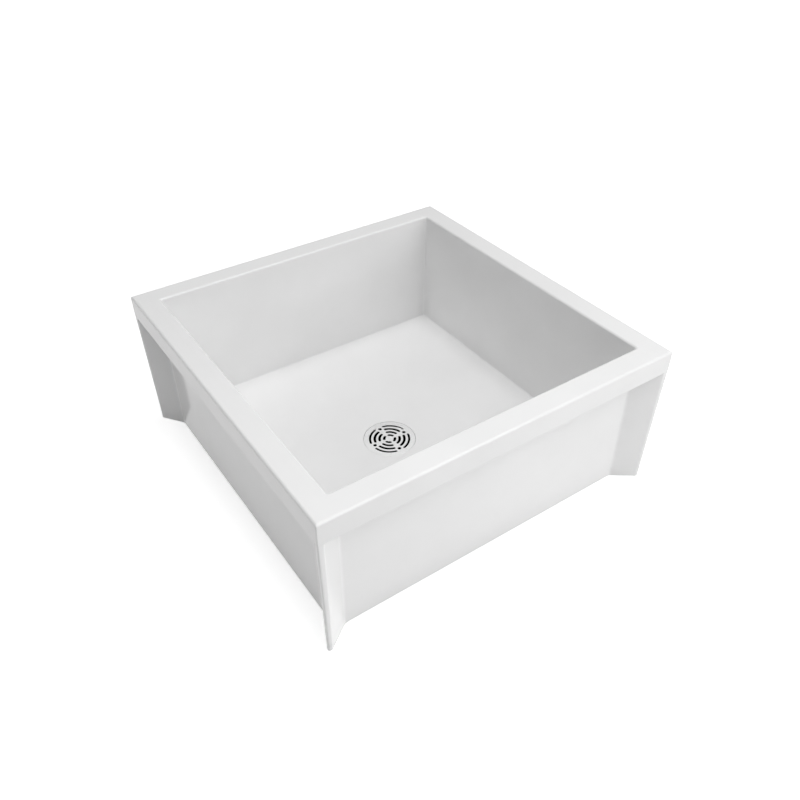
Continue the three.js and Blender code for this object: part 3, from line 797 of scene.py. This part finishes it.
def rubber_material():
    """Black rubber with a matt grain."""
    material, nodes, links, shader = new_material("seal rubber")
    place = object_place(nodes)
    dark, pale = (0.018, 0.018, 0.019), (0.04, 0.04, 0.041)
    colour = tint(nodes, links, place, scale=90.0, first=dark, second=pale)
    links.new(colour, shader.inputs["Base Color"])
    rough = spread(nodes, links, noise(nodes, links, place, scale=300.0), low=0.55, high=0.75)
    links.new(rough, shader.inputs["Roughness"])
    grain = noise(nodes, links, place, scale=1800.0)
    skin = bump(nodes, links, grain, strength=0.2, distance=0.03 * MM)
    links.new(skin, shader.inputs["Normal"])
    return material


def dress(piece, material, body, slot, *nodes):
    """Gives a piece its material and body, and lets it stand for CAD nodes."""
    piece.data.materials.clear()
    piece.data.materials.append(material)
    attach(piece, body)
    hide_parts(*nodes)


# ---------------------------------------------------------------- stage
CAMERA_PLACE = Vector((-0.5722, -0.8634, 0.9291))
CAMERA_LOOK = Vector((0.4424, 0.6427, -0.6255))
FOCAL_PIXELS = 788.3
PICTURE_PIXELS = 800
SENSOR_WIDTH = 36.0
CLIP_START = 0.01
CLIP_END = 50.0

# A lamp's azimuth turns from the front towards +X, and its elevation rises from the floor.
# Its distance and size are in metres, and its power in watts. All lamps look at LAMP_TARGET.
LAMP_TARGET = Vector((0, 0, 0.12))
LAMPS = (
    # name, azimuth, elevation, distance, width, height, power, whether reflections show it
    ("top", 0, 90, 3.0, 1.6, 1.2, 37.0, False),
    ("low front", 20, 20, 3.0, 1.6, 1.2, 23.2, False),
    ("right", 61, 20, 3.0, 1.6, 1.2, 6.7, False),
    ("near left", 326, 60, 1.3, 0.9, 0.7, 3.4, False),
    ("front", 22, 46, 1.4, 0.7, 0.45, 2.5, True),
    ("back left", 225, 4, 3.0, 1.6, 1.2, 8.9, False),
    ("back right", 150, 8, 3.0, 1.6, 1.2, 14.0, False),
)
AMBIENT = 0.1
UNDERLIGHT = 0.45
FLOOR_REACH = 12.0
FLOOR_DROP = 0.5 * MM
FLOOR_TONE = 0.92
FLOOR_GLOW = 0.58
FLOOR_FADE_START = 1.0
FLOOR_FADE_END = 3.0


def aimed(name, data, place, direction):
    """A camera or a lamp at a place, which looks in a direction."""
    made = bpy.data.objects.new(name, data)
    bpy.context.scene.collection.objects.link(made)
    made.location = place
    made.rotation_mode = "QUATERNION"
    made.rotation_quaternion = direction.to_track_quat("-Z", "Y")
    return made


def make_camera():
    camera = bpy.data.cameras.new("camera")
    camera.sensor_width = SENSOR_WIDTH
    camera.lens = SENSOR_WIDTH * FOCAL_PIXELS / PICTURE_PIXELS
    camera.clip_start = CLIP_START
    camera.clip_end = CLIP_END
    bpy.context.scene.camera = aimed("camera", camera, CAMERA_PLACE, CAMERA_LOOK)


def make_lamps():
    for name, azimuth, elevation, distance, width, height, power, mirrored in LAMPS:
        turn, rise = math.radians(azimuth), math.radians(elevation)
        flat = math.cos(rise)
        direction = Vector((math.sin(turn) * flat, -math.cos(turn) * flat, math.sin(rise)))
        place = LAMP_TARGET + direction * distance
        light = bpy.data.lights.new(name, "AREA")
        light.shape = "RECTANGLE"
        light.size, light.size_y = width, height
        light.energy = power
        lamp = aimed(name, light, place, LAMP_TARGET - place)
        lamp.visible_glossy = mirrored


def seen_as_background(nodes, links):
    """1 for rays that show the background: from the camera, a reflection or through glass."""
    path = nodes.new("ShaderNodeLightPath")
    seen = path.outputs["Is Camera Ray"]
    for kind in ("Is Glossy Ray", "Is Transmission Ray"):
        seen = maths(nodes, links, "MAXIMUM", seen, path.outputs[kind])
    return seen


def make_world():
    """White where it shows, and dim as a light."""
    world = bpy.data.worlds.new("studio")
    world.use_nodes = True
    nodes, links = world.node_tree.nodes, world.node_tree.links
    background = nodes["Background"]
    background.inputs["Color"].default_value = (1, 1, 1, 1)
    strength = map_range(nodes, links, seen_as_background(nodes, links), (0, 1), (AMBIENT, 1))
    links.new(strength, background.inputs["Strength"])
    bpy.context.scene.world = world


def stage_material(name):
    material = bpy.data.materials.new(name)
    material.use_nodes = True
    nodes, links = material.node_tree.nodes, material.node_tree.links
    nodes.clear()
    return material, nodes, links


def show_from_above(nodes, links, shader):
    """Ends a material in a shader that is clear from below."""
    clear = nodes.new("ShaderNodeBsdfTransparent")
    side = nodes.new("ShaderNodeNewGeometry")
    mix = nodes.new("ShaderNodeMixShader")
    links.new(side.outputs["Backfacing"], mix.inputs["Fac"])
    links.new(shader, mix.inputs[1])
    links.new(clear.outputs["BSDF"], mix.inputs[2])
    output = nodes.new("ShaderNodeOutputMaterial")
    links.new(mix.outputs["Shader"], output.inputs["Surface"])


def make_floor():
    """A pale floor that is white to the camera and keeps the object's shadow.

    It is painted black inside the drain's pipe, a painted shade for the pipe's dark depth, white
    all over far from the object, and clear from below.
    """
    corners = ((-1, -1), (1, -1), (1, 1), (-1, 1))
    points = [(x * FLOOR_REACH, y * FLOOR_REACH, -FLOOR_DROP) for x, y in corners]
    floor = mesh_object("floor", points, [(0, 1, 2, 3)])
    material, nodes, links = stage_material("floor")
    distance = vector_length(nodes, links, object_place(nodes))
    # Inside the pipe's bore the floor is painted black and has no glow: painted shade for the dark
    # inside of the pipe.
    outside_painted_pipe_shade = maths(nodes, links, "GREATER_THAN", distance, PIPE_BORE)

    matt = nodes.new("ShaderNodeBsdfDiffuse")
    tone = maths(nodes, links, "MULTIPLY", outside_painted_pipe_shade, FLOOR_TONE)
    links.new(tone, matt.inputs["Color"])
    fade = (FLOOR_FADE_START, FLOOR_FADE_END)
    white = map_range(nodes, links, distance, fade, (FLOOR_GLOW, 1))
    lift = maths(nodes, links, "MULTIPLY", white, seen_as_background(nodes, links))
    glow = nodes.new("ShaderNodeEmission")
    links.new(maths(nodes, links, "MULTIPLY", lift, outside_painted_pipe_shade), glow.inputs["Strength"])
    both = nodes.new("ShaderNodeAddShader")
    links.new(matt.outputs["BSDF"], both.inputs[0])
    links.new(glow.outputs["Emission"], both.inputs[1])
    show_from_above(nodes, links, both.outputs["Shader"])
    floor.data.materials.append(material)


def make_underlight():
    """A ring of light under the basin, which shows its underside in views from below.

    The skirt closes it in and it ends short of the drain, so it lights nothing that shows from
    above.
    """
    inner = circle_loop(BOSS_RADIUS, -FLOOR_DROP / 2)
    outer = rectangle_loop(WALL_RECESS + SKIRT_THICKNESS, -FLOOR_DROP / 2, SKIRT_CORNER_RADIUS)
    count = len(inner)
    faces = [(i, count + i, count + (i + 1) % count, (i + 1) % count) for i in range(count)]
    ring = mesh_object("underlight", inner + outer, faces)
    material, nodes, links = stage_material("underlight")
    glow = nodes.new("ShaderNodeEmission")
    glow.inputs["Strength"].default_value = UNDERLIGHT
    show_from_above(nodes, links, glow.outputs["Emission"])
    ring.data.materials.append(material)


# ---------------------------------------------------------------- the scene
def main():
    bpy.context.scene.view_settings.view_transform = "Standard"
    make_camera()
    make_lamps()
    make_world()
    make_floor()
    make_underlight()

    moulding = moulding_material()
    strainer_steel = steel_material("strainer steel", grey=0.8, roughness=0.3, ring_scale=2500.0)
    drain_steel = steel_material("drain steel", grey=0.72, roughness=0.3, ring_scale=1500.0)
    screw_steel = steel_material("screw steel", grey=0.66, roughness=0.32, ring_scale=900.0)
    rubber = rubber_material()

    dress(make_basin(), moulding, "basin", "basin_moulding", "basin")
    dress(make_drain_body(), drain_steel, "basin", "drain_steel", "drain_body")
    dress(make_gasket(), rubber, "basin", "seal_rubber", "drain_body_gasket")
    dress(make_seal(), rubber, "basin", "seal_rubber", "pipe_seal")
    dress(make_ring(), drain_steel, "basin", "drain_steel", "seal_retaining_ring")
    for number, angle in enumerate(around(SCREW_COUNT), start=1):
        screw = make_screw(number, angle)
        dress(screw, screw_steel, "basin", "fastener_steel", f"retainer_screw_{number}")
    dress(make_strainer_plate(), strainer_steel, "strainer", "strainer_steel", "strainer_plate")
    # The legs are the frame's own solids with a material.
    for number in range(1, LEG_COUNT + 1):
        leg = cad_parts[f"strainer_leg_{number}"]
        leg.data.materials.clear()
        leg.data.materials.append(strainer_steel)


main()
